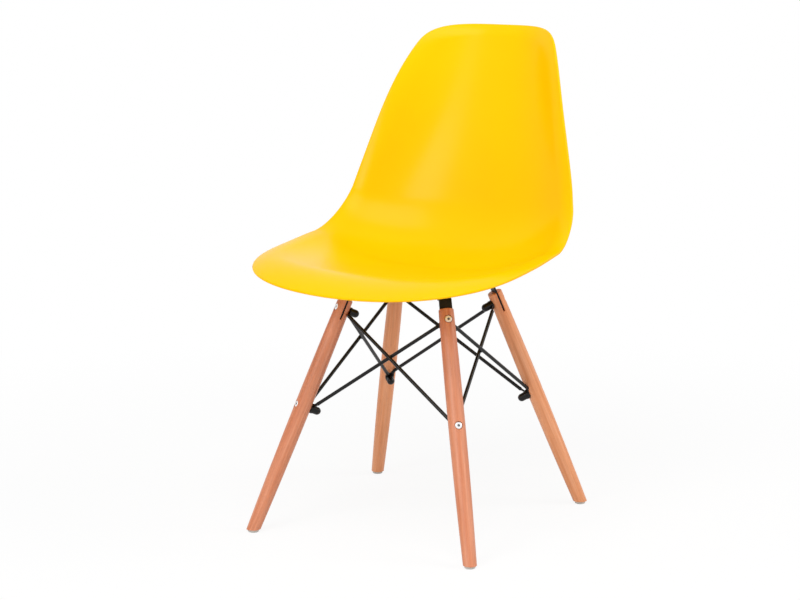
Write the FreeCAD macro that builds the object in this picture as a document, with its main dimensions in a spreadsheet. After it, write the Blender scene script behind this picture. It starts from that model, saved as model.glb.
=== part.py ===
import FreeCAD
import Part
import math
import os
import Sketcher
from FreeCAD import Placement, Rotation, Vector

# Moulded plastic shell chair on four slotted beech legs with crossed brace rods.
# Millimetres. The origin is on the floor under the middle of the chair's outer box.
# +Z is up, the sitter faces -Y and the sitter's left is +X.

SIZES = {
    # Centre line of the shell, seen from the side, on the sitter's face of the plastic
    "seat_front_height": 456.3,
    "seat_fold_height": 417.4,
    "seat_run": 409.5,
    "back_length": 431.4,
    "back_lean": 19.4,
    "fold_radius": 143.0,
    "shell_wall": 4.5,
    # Half widths of the shell, and how far each lies along it from its end of the shell
    "front_half_width": 228.2,
    "seat_half_width": 238.8,
    "hip_half_width": 225.0,
    "waist_half_width": 212.2,
    "rib_half_width": 194.8,
    "shoulder_half_width": 166.3,
    "neck_half_width": 138.5,
    "top_half_width": 108.0,
    "seat_width_from_front": 220.0,
    "hip_width_from_front": 400.0,
    "waist_width_from_top": 316.0,
    "rib_width_from_top": 246.0,
    "shoulder_width_from_top": 146.0,
    "neck_width_from_top": 66.0,
    # How far the side rims stand up towards the sitter
    "front_side_rise": 19.3,
    "knee_side_rise": 23.3,
    "seat_side_rise": 40.8,
    "fold_side_rise": 58.2,
    "hip_side_rise": 67.1,
    "waist_side_rise": 64.3,
    "shoulder_side_rise": 72.8,
    "neck_side_rise": 62.7,
    "top_side_rise": 43.4,
    "knee_rise_from_front": 100.0,
    "seat_rise_from_front": 220.0,
    "fold_rise_from_front": 310.0,
    "hip_rise_from_front": 400.0,
    "waist_rise_from_top": 306.0,
    "shoulder_rise_from_top": 166.0,
    "neck_rise_from_top": 66.0,
    # Steepness of the hollow across the shell: 2 is a round dish, 3 has a flatter middle
    "front_hollow": 1.7,
    "seat_hollow": 2.9,
    "back_hollow": 2.55,
    "top_hollow": 2.85,
    "seat_hollow_from_front": 300.0,
    "back_hollow_from_top": 246.0,
    # Corners of the outline and the turned-out rim; a fullness of 2 is an ellipse, 3 is squarer
    "corner_fullness": 3.1,
    "front_corner_across": 225.0,
    "front_corner_along": 194.5,
    "top_corner_across": 106.5,
    "top_corner_along": 61.2,
    "front_rim_drop": 32.0,
    "front_rim_width": 88.0,
    "side_rim_drop": 12.4,
    "side_rim_width": 32.0,
    "top_rim_drop": 8.5,
    "top_rim_width": 27.2,
    # Legs: axis points at the top end and on the floor
    "base_set_back": -22.3,
    "shell_front_overhang": 259.0,
    "leg_top_across": 94.1,
    "leg_top_along": 87.5,
    "leg_top_below_bar": 14.0,
    "leg_foot_across": 204.8,
    "leg_foot_along": 211.6,
    "leg_top_diameter": 24.6,
    "leg_middle_diameter": 27.8,
    "leg_foot_diameter": 22.0,
    "leg_edge_round": 1.8,
    "leg_slot_depth": 35.0,
    "leg_slot_clearance": 0.25,
    # Leg bolts and cap nuts
    "upper_bolt_from_top": 18.0,
    "lower_bolt_from_top": 193.0,
    "bolt_diameter": 6.0,
    "bolt_hole_clearance": 0.25,
    "bolt_head_diameter": 11.8,
    "bolt_head_height": 4.0,
    "bolt_head_sink": 1.5,
    "bolt_head_round": 1.0,
    "bolt_socket_flats": 4.0,
    "bolt_socket_depth": 2.4,
    "head_bore_clearance": 0.7,
    "spotface_depth": 0.8,
    "spotface_clearance": 0.6,
    "thread_clearance": 0.1,
    "bolt_end_gap": 0.4,
    "cap_nut_diameter": 13.4,
    "cap_nut_barrel": 8.2,
    "cap_nut_thread_depth": 8.0,
    # Brace rods with flattened, punched ends
    "rod_diameter": 6.0,
    "rod_eye_diameter": 15.0,
    "rod_eye_thickness": 2.5,
    "rod_tongue_width": 9.5,
    "rod_tongue_length": 8.0,
    "rod_tongue_lap": 0.6,
    "rod_bend_from_bolt": 15.0,
    "outer_rod_joggle": 1.5,
    "rod_crossing_gap": 0.3,
    "brace_weld_diameter": 6.8,
    "brace_weld_height": 3.6,
    # Under-seat frame of flat bar
    "bar_width": 21.0,
    "bar_thickness": 3.0,
    "bar_bend_inside": 2.0,
    "bar_bend_lap": 5.0,
    "tab_depth_in_leg": 31.0,
    "weld_bead_radius": 2.4,
    # Shock mounts, shell bosses, inserts, screws and washers
    "mount_circle_radius": 100.0,
    "shock_mount_height": 8.0,
    "shock_mount_diameter": 30.0,
    "shock_mount_edge": 1.2,
    "boss_diameter": 30.0,
    "boss_drop": 16.1,
    "insert_diameter": 8.6,
    "insert_length": 8.0,
    "insert_hole_spare": 0.5,
    "screw_diameter": 6.0,
    "screw_length": 18.5,
    "screw_head_diameter": 10.5,
    "screw_head_height": 3.4,
    "screw_socket_flats": 4.0,
    "screw_socket_depth": 2.0,
    "washer_diameter": 15.0,
    "washer_thickness": 1.2,
    # Glides and their nails
    "glide_diameter": 17.8,
    "glide_thickness": 4.6,
    "glide_edge": 1.0,
    "nail_diameter": 2.4,
    "nail_head_diameter": 6.4,
    "nail_head_thickness": 1.0,
    "nail_head_sink": 1.0,
    "nail_depth_in_leg": 11.0,
    "nail_clearance": 0.05,
}

UP = Vector(0, 0, 1)
ACROSS = Vector(1, 0, 0)
CORNERS = {
    "front_left": (1, -1),
    "front_right": (-1, -1),
    "rear_left": (1, 1),
    "rear_right": (-1, 1),
}
# Spacing of the shell's grid, of the points on its sides and of those round each corner
GRID_STEP = 16.0
SIDE_STEP = 48.0
CORNER_STEPS = 14
# The shell's sheet runs on past its outline by this many wall thicknesses
SHEET_MARGIN = 2.0
OFFSET_TOLERANCE = 0.001
SAME_PLACE = 0.001
# Shares of a size: the hollow's rounding at the middle, a rod's shapes at its bends, a bead's length
HOLLOW_SOFTNESS = 0.08
ROD_THROAT = 0.93
ELBOW_SWELL = 1.08
WELD_SHARE = 0.8
# A sketch's shapes start about this large, before their rules size them
ROUGH_RADIUS = 20.0

doc = FreeCAD.newDocument("shell_chair")
sheet = doc.addObject("Spreadsheet::Sheet", "sizes")
for row, (name, number) in enumerate(SIZES.items(), start=1):
    sheet.set("A%d" % row, name)
    sheet.set("B%d" % row, str(number))
    sheet.setAlias("B%d" % row, name)
worked = doc.addObject("Spreadsheet::Sheet", "worked")
worked_rows = []
doc.recompute()


def size(name):
    """The number that the sheet holds under this name."""
    return float(getattr(sheet, name))


def work_out(name, number):
    """Keep a length or angle worked out from the sizes in the second sheet; returns its expression."""
    worked_rows.append(name)
    row = len(worked_rows)
    worked.set("A%d" % row, name)
    worked.set("B%d" % row, repr(number))
    worked.setAlias("B%d" % row, name)
    worked.recompute()
    return "worked." + name


def bind(thing, **sizes_of):
    """Bind properties of an object to expressions of the sheet's names."""
    for prop, expression in sizes_of.items():
        thing.setExpression(prop, expression)


def primitive(kind, label, placement, **sizes_of):
    thing = doc.addObject("Part::" + kind, label)
    thing.Label = label
    thing.Placement = placement
    bind(thing, **sizes_of)
    return thing


def boolean(kind, label, **links):
    thing = doc.addObject("Part::" + kind, label)
    thing.Label = label
    for prop, linked in links.items():
        setattr(thing, prop, linked)
    return thing


def turned(x_axis, z_axis):
    """The rotation that carries X and Z to the two given directions."""
    y_axis = z_axis.cross(x_axis)
    return Rotation(x_axis, y_axis, z_axis, "ZXY")


def unit(vector):
    copy = Vector(vector)
    copy.normalize()
    return copy


# Shell: a smooth sheet worked out from its side profile, widths and side rises

def profile_lengths():
    """Directions and lengths of the centre line: straight seat, round fold, straight back."""
    seat_slope = (size("seat_fold_height") - size("seat_front_height")) / size("seat_run")
    seat_turn = math.atan(seat_slope)
    back_turn = math.radians(90.0 - size("back_lean"))
    turn = back_turn - seat_turn
    tangent = size("fold_radius") * math.tan(turn / 2.0)
    seat_straight = size("seat_run") / math.cos(seat_turn) - tangent
    fold = size("fold_radius") * turn
    back_straight = size("back_length") - tangent
    return seat_turn, seat_straight, fold, back_straight


SEAT_TURN, SEAT_STRAIGHT, FOLD_LENGTH, BACK_STRAIGHT = profile_lengths()
SHELL_LENGTH = SEAT_STRAIGHT + FOLD_LENGTH + BACK_STRAIGHT
SHELL_FRONT = size("base_set_back") - size("shell_front_overhang")


def centre_line(along):
    """Point and direction angle of the centre line at a length from the front edge."""
    start = Vector(0, SHELL_FRONT, size("seat_front_height"))
    seat_way = Vector(0, math.cos(SEAT_TURN), math.sin(SEAT_TURN))
    if along <= SEAT_STRAIGHT:
        return start + seat_way * along, SEAT_TURN
    fold_start = start + seat_way * SEAT_STRAIGHT
    seat_normal = Vector(0, -math.sin(SEAT_TURN), math.cos(SEAT_TURN))
    fold_centre = fold_start + seat_normal * size("fold_radius")
    bend = min(along - SEAT_STRAIGHT, FOLD_LENGTH) / size("fold_radius")
    angle = SEAT_TURN + bend
    normal = Vector(0, -math.sin(angle), math.cos(angle))
    point = fold_centre - normal * size("fold_radius")
    beyond = max(along - SEAT_STRAIGHT - FOLD_LENGTH, 0.0)
    return point + Vector(0, math.cos(angle), math.sin(angle)) * beyond, angle


def station_curve(stations):
    """A smooth curve through (place along the shell, value) pairs, read with curve.value(place).y."""
    curve = Part.BSplineCurve()
    points = [Vector(place, value, 0) for place, value in stations]
    curve.interpolate(Points=points, Parameters=[place for place, value in stations])
    return curve


HALF_WIDTH = station_curve([
    (0.0, size("front_half_width")),
    (size("seat_width_from_front"), size("seat_half_width")),
    (size("hip_width_from_front"), size("hip_half_width")),
    (SHELL_LENGTH - size("waist_width_from_top"), size("waist_half_width")),
    (SHELL_LENGTH - size("rib_width_from_top"), size("rib_half_width")),
    (SHELL_LENGTH - size("shoulder_width_from_top"), size("shoulder_half_width")),
    (SHELL_LENGTH - size("neck_width_from_top"), size("neck_half_width")),
    (SHELL_LENGTH, size("top_half_width")),
])
SIDE_RISE = station_curve([
    (0.0, size("front_side_rise")),
    (size("knee_rise_from_front"), size("knee_side_rise")),
    (size("seat_rise_from_front"), size("seat_side_rise")),
    (size("fold_rise_from_front"), size("fold_side_rise")),
    (size("hip_rise_from_front"), size("hip_side_rise")),
    (SHELL_LENGTH - size("waist_rise_from_top"), size("waist_side_rise")),
    (SHELL_LENGTH - size("shoulder_rise_from_top"), size("shoulder_side_rise")),
    (SHELL_LENGTH - size("neck_rise_from_top"), size("neck_side_rise")),
    (SHELL_LENGTH, size("top_side_rise")),
])
HOLLOW = station_curve([
    (0.0, size("front_hollow")),
    (size("seat_hollow_from_front"), size("seat_hollow")),
    (SHELL_LENGTH - size("back_hollow_from_top"), size("back_hollow")),
    (SHELL_LENGTH, size("top_hollow")),
])


def read(curve, along):
    return curve.value(min(max(along, 0.0), SHELL_LENGTH)).y


def corner_reach(reach_across, reach_along):
    """How near a point lies to a corner's rounded edge: 0 at its middle, 1 on the edge."""
    fullness = size("corner_fullness")
    return (reach_across ** fullness + reach_along ** fullness) ** (1.0 / fullness)


def corner_insets(angle):
    """Shares of a corner's two sizes by which its edge lies inside them, at an angle round it."""
    power = 2.0 / size("corner_fullness")
    return 1.0 - math.sin(angle) ** power, 1.0 - math.cos(angle) ** power


def rim_drop(across, along):
    """How far the turned-out rim falls away from the sitter: a parabola that starts a rim's width inside."""
    to_side = read(HALF_WIDTH, along) - abs(across)
    at_front = along < SHELL_LENGTH / 2.0
    end = "front" if at_front else "top"
    to_end = along if at_front else SHELL_LENGTH - along
    reach_across = max(1.0 - to_side / size(end + "_corner_across"), 0.0)
    reach_along = max(1.0 - to_end / size(end + "_corner_along"), 0.0)
    reach = corner_reach(reach_across, reach_along)
    if reach == 0.0:
        return 0.0
    end_share = (reach_along / reach) ** 2
    side_width = size("side_rim_width") / size(end + "_corner_across")
    end_width = size(end + "_rim_width") / size(end + "_corner_along")
    width = (1.0 - end_share) * side_width + end_share * end_width
    drop = (1.0 - end_share) * size("side_rim_drop") + end_share * size(end + "_rim_drop")
    return drop * max(1.0 - (1.0 - reach) / width, 0.0) ** 2


def shell_point(across, along):
    """A point of the sitter's face: the centre line, raised to the sides and dropped at the rim."""
    centre, angle = centre_line(along)
    share = abs(across) / read(HALF_WIDTH, along)
    steepness = read(HOLLOW, along)
    softened = math.hypot(share, HOLLOW_SOFTNESS) ** steepness - HOLLOW_SOFTNESS ** steepness
    rise = read(SIDE_RISE, along) * softened - rim_drop(across, along)
    normal = Vector(0, -math.sin(angle), math.cos(angle))
    return centre + ACROSS * across + normal * rise


def even_steps(first, last, step):
    count = max(int(round((last - first) / step)), 2)
    return [first + (last - first) * index / count for index in range(count + 1)]


def shell_sheet():
    """A spline surface through a grid of shell points; its parameters are millimetres across and along."""
    margin = SHEET_MARGIN * size("shell_wall")
    widest = max(size("front_half_width"), size("seat_half_width"), size("hip_half_width"))
    columns = even_steps(-widest - margin, widest + margin, GRID_STEP)
    rows = even_steps(-margin, SHELL_LENGTH + margin, GRID_STEP)
    strips = []
    for along in rows:
        strip = Part.BSplineCurve()
        strip.interpolate(Points=[shell_point(across, along) for across in columns], Parameters=columns)
        strips.append(strip)
    poles = []
    for index in range(strips[0].NbPoles):
        line = Part.BSplineCurve()
        line.interpolate(Points=[strip.getPole(index + 1) for strip in strips], Parameters=rows)
        poles.append(line.getPoles())
    surface = Part.BSplineSurface()
    surface.buildFromPolesMultsKnots(
        poles,
        strips[0].getMultiplicities(),
        line.getMultiplicities(),
        strips[0].getKnots(),
        line.getKnots(),
        False,
        False,
        strips[0].Degree,
        line.Degree,
    )
    return surface


def outline_side(side):
    """The outline's points on one side: front corner, waist, top corner."""
    points = []
    for step in range(CORNER_STEPS + 1):
        inset_across, inset_along = corner_insets(math.pi / 2.0 * step / CORNER_STEPS)
        along = size("front_corner_along") * inset_along
        across = read(HALF_WIDTH, along) - size("front_corner_across") * inset_across
        points.append((side * across, along))
    first = size("front_corner_along")
    last = SHELL_LENGTH - size("top_corner_along")
    for along in even_steps(first, last, SIDE_STEP)[1:-1]:
        points.append((side * read(HALF_WIDTH, along), along))
    for step in range(CORNER_STEPS + 1):
        inset_across, inset_along = corner_insets(math.pi / 2.0 * (1.0 - step / CORNER_STEPS))
        along = SHELL_LENGTH - size("top_corner_along") * inset_along
        across = read(HALF_WIDTH, along) - size("top_corner_across") * inset_across
        points.append((side * across, along))
    return [FreeCAD.Base.Vector2d(*point) for point in points]


def shell_skin(surface):
    """The sheet trimmed to its outline, with its wall thickness on the side away from the sitter."""
    left = outline_side(1)
    right = outline_side(-1)
    edges = []
    for points in (left, right):
        side = Part.Geom2d.BSplineCurve2d()
        side.interpolate(points)
        edges.append(side.toShape(surface))
    for start, end in ((left[0], right[0]), (left[-1], right[-1])):
        edges.append(Part.Geom2d.Line2dSegment(start, end).toShape(surface))
    face = Part.Face(surface, Part.Wire(Part.__sortEdges__(edges)))
    face.validate()
    away = -1.0 if face.normalAt(0, SEAT_STRAIGHT / 2.0).z > 0 else 1.0
    return face.makeOffsetShape(away * size("shell_wall"), OFFSET_TOLERANCE, fill=True)


def shell_underside():
    """Height of the shell's lower face over the middle of the base."""
    along = size("shell_front_overhang") / math.cos(SEAT_TURN)
    return centre_line(along)[0].z - size("shell_wall") / math.cos(SEAT_TURN)


MOUNT_FACE = shell_underside() - size("boss_drop")
BAR_TOP = MOUNT_FACE - size("shock_mount_height")
BAR_UNDERSIDE = BAR_TOP - size("bar_thickness")
WASHER_FACE = BAR_UNDERSIDE - size("washer_thickness")
LEG_TOP = BAR_UNDERSIDE - size("leg_top_below_bar")


def mount_point(corner, height):
    """A point over the under-seat frame's arm, on the circle of the shock mounts."""
    side, end = CORNERS[corner]
    way = unit(Vector(side * size("leg_top_across"), end * size("leg_top_along"), 0))
    return Vector(0, size("base_set_back"), height) + way * size("mount_circle_radius")


def boss_room(surface):
    """The space under the middle of the wall, which the bosses fill down to the shock mounts."""
    reach = size("mount_circle_radius") + size("boss_diameter")
    middle = size("shell_front_overhang")
    patch = surface.toShape(-reach, reach, middle - reach, middle + reach)
    patch.translate(UP * (-size("shell_wall") / 2.0))
    return patch.extrude(UP * -(size("boss_drop") + size("boss_diameter")))


def seat_shell():
    surface = shell_sheet()
    skin = doc.addObject("Part::Feature", "shell_skin")
    skin.Shape = shell_skin(surface)
    room = doc.addObject("Part::Feature", "boss_room")
    room.Shape = boss_room(surface)
    bosses = []
    pockets = []
    for corner in CORNERS:
        foot = Placement(mount_point(corner, MOUNT_FACE), Rotation())
        bosses.append(primitive(
            "Cylinder", "boss_" + corner, foot,
            Radius="sizes.boss_diameter / 2", Height="sizes.boss_drop + sizes.boss_diameter"))
        pockets.append(primitive(
            "Cylinder", "insert_pocket_" + corner, foot,
            Radius="sizes.insert_diameter / 2", Height="sizes.insert_length + sizes.insert_hole_spare"))
    posts = boolean("MultiFuse", "boss_posts", Shapes=bosses)
    trimmed = boolean("Common", "boss_blanks", Base=posts, Tool=room)
    cavities = boolean("MultiFuse", "insert_pockets", Shapes=pockets)
    hollowed = boolean("Cut", "bosses", Base=trimmed, Tool=cavities)
    return boolean("MultiFuse", "seat_shell", Shapes=[skin, hollowed])


# Sketches and features of the turned and drilled pieces

def body_named(label, placement):
    body = doc.addObject("PartDesign::Body", label)
    body.Label = label
    body.Placement = placement
    return body


def sketch_on(body, role, offset=0.0):
    """A sketch on one of the body's own planes, moved along the plane's normal."""
    plane = [item for item in body.Origin.OriginFeatures if item.Role == role][0]
    sketch = body.newObject("Sketcher::SketchObject", body.Label + "_sketch")
    sketch.AttachmentSupport = [(plane, "")]
    sketch.MapMode = "FlatFace"
    sketch.AttachmentOffset = Placement(Vector(0, 0, offset), Rotation())
    return sketch


def rule(sketch, kind, geometry, vertex, expression):
    """Ties one coordinate of a sketch point to an expression; a zero puts it on the sketch's axis."""
    if expression == "0":
        axis = -2 if kind == "DistanceX" else -1
        sketch.addConstraint(Sketcher.Constraint("PointOnObject", geometry, vertex, axis))
        return
    index = sketch.addConstraint(Sketcher.Constraint(kind, -1, 1, geometry, vertex, 1.0 + geometry))
    sketch.setExpression("Constraints[%d]" % index, expression)


def draw_outline(sketch, corners):
    """A closed outline of straight lines whose corners are pairs of expressions."""
    count = len(corners)
    turn = 2.0 * math.pi / count
    rough = [
        Vector(math.cos(turn * index), math.sin(turn * index), 0) * ROUGH_RADIUS for index in range(count)
    ]
    for index in range(count):
        sketch.addGeometry(Part.LineSegment(rough[index], rough[(index + 1) % count]), False)
    for index, (across, up) in enumerate(corners):
        sketch.addConstraint(Sketcher.Constraint("Coincident", (index - 1) % count, 2, index, 1))
        rule(sketch, "DistanceX", index, 1, across)
        rule(sketch, "DistanceY", index, 1, up)


def draw_circle(sketch, across, up, radius):
    index = sketch.addGeometry(Part.Circle(Vector(1, 1, 0), UP, ROUGH_RADIUS), False)
    constraint = sketch.addConstraint(Sketcher.Constraint("Radius", index, ROUGH_RADIUS))
    sketch.setExpression("Constraints[%d]" % constraint, radius)
    rule(sketch, "DistanceX", index, 3, across)
    rule(sketch, "DistanceY", index, 3, up)


def revolved(body, sketch, kind="Revolution"):
    feature = body.newObject("PartDesign::" + kind, body.Label + "_" + kind.lower())
    feature.Profile = sketch
    feature.ReferenceAxis = (sketch, ["V_Axis"])
    feature.Angle = 360.0
    return feature


def pocket(body, sketch, both_ways=True, reverse=False):
    feature = body.newObject("PartDesign::Pocket", body.Label + "_pocket")
    feature.Profile = sketch
    feature.Type = "ThroughAll"
    feature.Midplane = both_ways
    feature.Reversed = reverse
    return feature


# Legs

def leg_placement(corner):
    """The leg's own frame: origin on the floor, Z up the leg's axis, X out of the bolt heads' side."""
    side, end = CORNERS[corner]
    middle = size("base_set_back")
    top = Vector(side * size("leg_top_across"), middle + end * size("leg_top_along"), LEG_TOP)
    foot = Vector(side * size("leg_foot_across"), middle + end * size("leg_foot_along"), 0)
    axis = unit(top - foot)
    away = unit(Vector(foot.x - top.x, foot.y - top.y, 0))
    outward = unit(away - axis * axis.dot(away))
    return Placement(foot, turned(outward, axis))


LEG_LENGTH = math.sqrt(
    (size("leg_foot_across") - size("leg_top_across")) ** 2
    + (size("leg_foot_along") - size("leg_top_along")) ** 2
    + LEG_TOP ** 2
)
LEG_LEAN = math.acos(LEG_TOP / LEG_LENGTH)
LEG_LENGTH_RULE = work_out("leg_length", LEG_LENGTH)
LEG_LEAN_RULE = work_out("leg_lean", math.degrees(LEG_LEAN))
BOLT_HEIGHTS = {
    "upper": LEG_LENGTH - size("upper_bolt_from_top"),
    "lower": LEG_LENGTH - size("lower_bolt_from_top"),
}


def leg_radius(height):
    """Radius of the leg at a height along its axis: a long arc through the foot, middle and top."""
    share = height / LEG_LENGTH
    foot = size("leg_foot_diameter") / 2.0
    top = size("leg_top_diameter") / 2.0
    swell = size("leg_middle_diameter") / 2.0 - (foot + top) / 2.0
    return foot + (top - foot) * share + 4.0 * swell * share * (1.0 - share)


def inner_seat(level_height):
    """How far the spotface on the leg's inner side lies from the leg's axis."""
    return leg_radius(level_height) - size("spotface_depth")


def head_seat(level_height):
    """How far the floor of the bolt head's bore lies from the leg's axis."""
    return leg_radius(level_height) - size("bolt_head_sink") - size("bolt_head_height")


def nut_seat(level):
    """How far the cap nut's face lies from the leg's axis, past the eyes of two rods."""
    return inner_seat(BOLT_HEIGHTS[level]) + 2 * size("rod_eye_thickness")


def draw_leg_profile(sketch):
    """Half the leg: its foot runs on past the floor, its side is one long arc, its top is flat."""
    foot = size("leg_foot_diameter") / 2.0
    top = size("leg_top_diameter") / 2.0
    corners = [
        Vector(0, -2 * foot, 0), Vector(foot, -2 * foot, 0), Vector(foot, 0, 0),
        Vector(top, LEG_LENGTH, 0), Vector(0, LEG_LENGTH, 0),
    ]
    middle = Vector(size("leg_middle_diameter") / 2.0, LEG_LENGTH / 2.0, 0)
    sketch.addGeometry(Part.LineSegment(corners[0], corners[1]), False)
    sketch.addGeometry(Part.LineSegment(corners[1], corners[2]), False)
    sketch.addGeometry(Part.Arc(corners[2], middle, corners[3]), False)
    sketch.addGeometry(Part.LineSegment(corners[3], corners[4]), False)
    sketch.addGeometry(Part.LineSegment(corners[4], corners[0]), False)
    sketch.addGeometry(Part.Point(middle), True)
    joins = [(0, 2, 1, 1), (1, 2, 2, 1), (2, 2, 3, 1), (3, 2, 4, 1), (4, 2, 0, 1)]
    for first, first_end, second, second_end in joins:
        sketch.addConstraint(Sketcher.Constraint("Coincident", first, first_end, second, second_end))
    sketch.addConstraint(Sketcher.Constraint("PointOnObject", 5, 1, 2))
    rules = [
        (0, 1, "0", "-sizes.leg_foot_diameter"),
        (0, 2, "sizes.leg_foot_diameter / 2", "-sizes.leg_foot_diameter"),
        (1, 2, "sizes.leg_foot_diameter / 2", "0"),
        (3, 1, "sizes.leg_top_diameter / 2", LEG_LENGTH_RULE),
        (3, 2, "0", LEG_LENGTH_RULE),
        (5, 1, "sizes.leg_middle_diameter / 2", LEG_LENGTH_RULE + " / 2"),
    ]
    for geometry, vertex, across, up in rules:
        rule(sketch, "DistanceX", geometry, vertex, across)
        rule(sketch, "DistanceY", geometry, vertex, up)


def leg(corner):
    """A turned leg, cut level at the foot, slotted at the top, drilled and spotfaced for two bolts."""
    body = body_named("leg_" + corner, leg_placement(corner))
    profile = sketch_on(body, "XZ_Plane")
    draw_leg_profile(profile)
    turned_leg = revolved(body, profile)
    doc.recompute()
    top_edge = [
        "Edge%d" % (number + 1) for number, edge in enumerate(turned_leg.Shape.Edges)
        if edge.isClosed() and abs(edge.CenterOfMass.z - turned_leg.Shape.BoundBox.ZMax) < SAME_PLACE
    ]
    rounded = body.newObject("PartDesign::Fillet", body.Label + "_round")
    rounded.Base = (turned_leg, top_edge)
    bind(rounded, Radius="sizes.leg_edge_round")
    doc.recompute()

    floor_cut = sketch_on(body, "XZ_Plane")
    reach = "sizes.leg_foot_diameter * 2"
    level = "sizes.glide_thickness / cos(%s)" % LEG_LEAN_RULE
    slope = "%s * tan(%s)" % (reach, LEG_LEAN_RULE)
    draw_outline(floor_cut, [
        ("-" + reach, level + " + " + slope),
        ("-" + reach, "-" + reach),
        (reach, "-" + reach),
        (reach, level + " - " + slope),
    ])
    pocket(body, floor_cut)

    slot = sketch_on(body, "XZ_Plane")
    half_gap = "sizes.bar_thickness / 2 + sizes.leg_slot_clearance"
    draw_outline(slot, [
        ("-(%s)" % half_gap, LEG_LENGTH_RULE + " - sizes.leg_slot_depth"),
        (half_gap, LEG_LENGTH_RULE + " - sizes.leg_slot_depth"),
        (half_gap, LEG_LENGTH_RULE + " + sizes.leg_slot_depth"),
        ("-(%s)" % half_gap, LEG_LENGTH_RULE + " + sizes.leg_slot_depth"),
    ])
    pocket(body, slot)

    bolt_holes = sketch_on(body, "YZ_Plane")
    for level in BOLT_HEIGHTS:
        up = LEG_LENGTH_RULE + " - sizes.%s_bolt_from_top" % level
        draw_circle(bolt_holes, "0", up, "sizes.bolt_diameter / 2 + sizes.bolt_hole_clearance")
    pocket(body, bolt_holes)
    for level, height in BOLT_HEIGHTS.items():
        up = LEG_LENGTH_RULE + " - sizes.%s_bolt_from_top" % level
        head_bore = sketch_on(body, "YZ_Plane", head_seat(height))
        draw_circle(head_bore, "0", up, "sizes.bolt_head_diameter / 2 + sizes.head_bore_clearance")
        pocket(body, head_bore, both_ways=False, reverse=True)
        spotface = sketch_on(body, "YZ_Plane", -inner_seat(height))
        draw_circle(spotface, "0", up, "sizes.rod_eye_diameter / 2 + sizes.spotface_clearance")
        pocket(body, spotface, both_ways=False)
    doc.recompute()

    pilot = body.newObject("PartDesign::SubtractiveCylinder", body.Label + "_pilot")
    foot_frame = leg_placement(corner).inverse()
    pilot.Placement = foot_frame.multiply(Placement(glide_middle(corner), Rotation()))
    bind(
        pilot,
        Radius="sizes.nail_diameter / 2 + sizes.nail_clearance",
        Height="sizes.glide_thickness + sizes.nail_depth_in_leg",
    )
    return body


# Glides and their nails

def glide_middle(corner):
    """The point on the floor under the place where the leg's axis meets its level end."""
    frame = leg_placement(corner)
    along = size("glide_thickness") / math.cos(LEG_LEAN)
    meeting = frame.multVec(UP * along)
    return Vector(meeting.x, meeting.y, 0)


def glide(corner):
    """A round plastic glide with a bevelled lower edge and a sunk hole for its nail."""
    body = body_named("glide_" + corner, Placement(glide_middle(corner), Rotation()))
    profile = sketch_on(body, "XZ_Plane")
    hole = "sizes.nail_diameter / 2 + sizes.nail_clearance"
    recess = "sizes.nail_head_diameter / 2 + sizes.nail_clearance"
    ledge = "sizes.nail_head_sink + sizes.nail_head_thickness"
    draw_outline(profile, [
        (recess, "0"),
        ("sizes.glide_diameter / 2 - sizes.glide_edge", "0"),
        ("sizes.glide_diameter / 2", "sizes.glide_edge"),
        ("sizes.glide_diameter / 2", "sizes.glide_thickness"),
        (hole, "sizes.glide_thickness"),
        (hole, ledge),
        (recess, ledge),
    ])
    revolved(body, profile)
    return body


def glide_nails():
    nails = []
    for corner in CORNERS:
        foot = glide_middle(corner)
        head = primitive(
            "Cylinder", "nail_head_" + corner, Placement(foot + UP * size("nail_head_sink"), Rotation()),
            Radius="sizes.nail_head_diameter / 2", Height="sizes.nail_head_thickness")
        shank_start = foot + UP * (size("nail_head_sink") + size("nail_head_thickness"))
        shank = primitive(
            "Cylinder", "nail_shank_" + corner, Placement(shank_start, Rotation()),
            Radius="sizes.nail_diameter / 2",
            Height="sizes.glide_thickness + sizes.nail_depth_in_leg - 2 * sizes.nail_clearance"
                   " - sizes.nail_head_sink - sizes.nail_head_thickness")
        nails.append(boolean("MultiFuse", "nail_" + corner, Shapes=[head, shank]))
    return boolean("Compound", "glide_nails", Links=nails)


# Leg bolts and cap nuts

def bolt_frame(corner, level, inward):
    """A frame on the bolt's axis with Z pointing in towards the chair, a distance in from the leg's axis."""
    frame = leg_placement(corner)
    inward_way = frame.Rotation.multVec(Vector(-1, 0, 0))
    start = frame.multVec(Vector(-inward, 0, BOLT_HEIGHTS[level]))
    return Placement(start, turned(frame.Rotation.multVec(UP), inward_way))


def hex_socket(label, placement, flats, depth):
    return primitive(
        "Prism", label, placement,
        Polygon="6", Circumradius="%s / sqrt(3)" % flats, Height=depth)


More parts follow.
